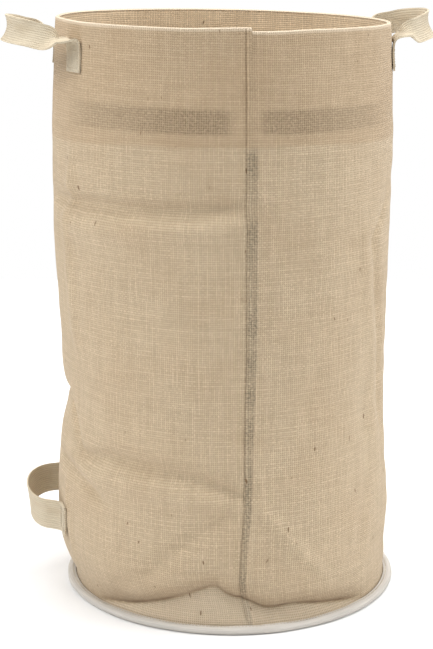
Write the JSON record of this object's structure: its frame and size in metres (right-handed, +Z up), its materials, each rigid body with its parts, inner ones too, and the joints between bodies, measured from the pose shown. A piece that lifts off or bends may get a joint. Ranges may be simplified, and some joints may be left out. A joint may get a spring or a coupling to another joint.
{
  "type": "sack race bag",
  "caption": "Round-bottomed jute jumping sack with an open mouth, a bound base edge and webbing grab handles.",
  "frame": {"origin": "centre of the base's underside, where the sack stands on the ground", "axes": "+Z up through the mouth; -Y is the front with the side seam; -X is the side with two handles"},
  "size_m": [0.441, 0.3568, 0.6081],
  "materials": {
    "jute": "matt plain-woven hessian",
    "inner_jute": "matt plain-woven hessian, inner side",
    "tape": "matt grey woven tape",
    "binding": "smooth off-white bias binding",
    "webbing": "ribbed natural cotton webbing",
    "thread": "off-white sewing thread"
  },
  "bodies": {
    "sack": {"wall_panel": "jute", "top_facing": "inner_jute", "hem_tape": "tape", "hem_stitching": "thread", "side_seam_allowance": "jute", "side_seam_stitching": "thread", "base_panel": "jute", "base_binding": "binding", "binding_stitching": "thread", "upper_left_handle_front_end": "webbing", "upper_left_handle_front_tack": "thread", "upper_left_handle_back_end": "webbing", "upper_left_handle_back_tack": "thread", "upper_right_handle_front_end": "webbing", "upper_right_handle_front_tack": "thread", "upper_right_handle_back_end": "webbing", "upper_right_handle_back_tack": "thread", "lower_handle_front_end": "webbing", "lower_handle_front_tack": "thread", "lower_handle_back_end": "webbing", "lower_handle_back_tack": "thread"},
    "upper_left_handle": {"upper_left_handle_loop": "webbing"},
    "upper_right_handle": {"upper_right_handle_loop": "webbing"},
    "lower_handle": {"lower_handle_loop": "webbing"}
  },
  "joints": [
    {"name": "upper_left_handle_swing", "type": "hinge", "parent": "sack", "child": "upper_left_handle", "pos_m": [-0.17257, -0.038, 0.584], "axis": [-0.225, 0.9744, 0], "range_deg": [-75, 60]},
    {"name": "upper_right_handle_swing", "type": "hinge", "parent": "sack", "child": "upper_right_handle", "pos_m": [0.15515, 0.04371, 0.584], "axis": [0.2588, -0.9659, 0], "range_deg": [-75, 60]},
    {"name": "lower_handle_swing", "type": "hinge", "parent": "sack", "child": "lower_handle", "pos_m": [-0.1809, -0.00453, 0.09], "axis": [-0.0262, 0.9997, 0], "range_deg": [-30, 30]}
  ]
}
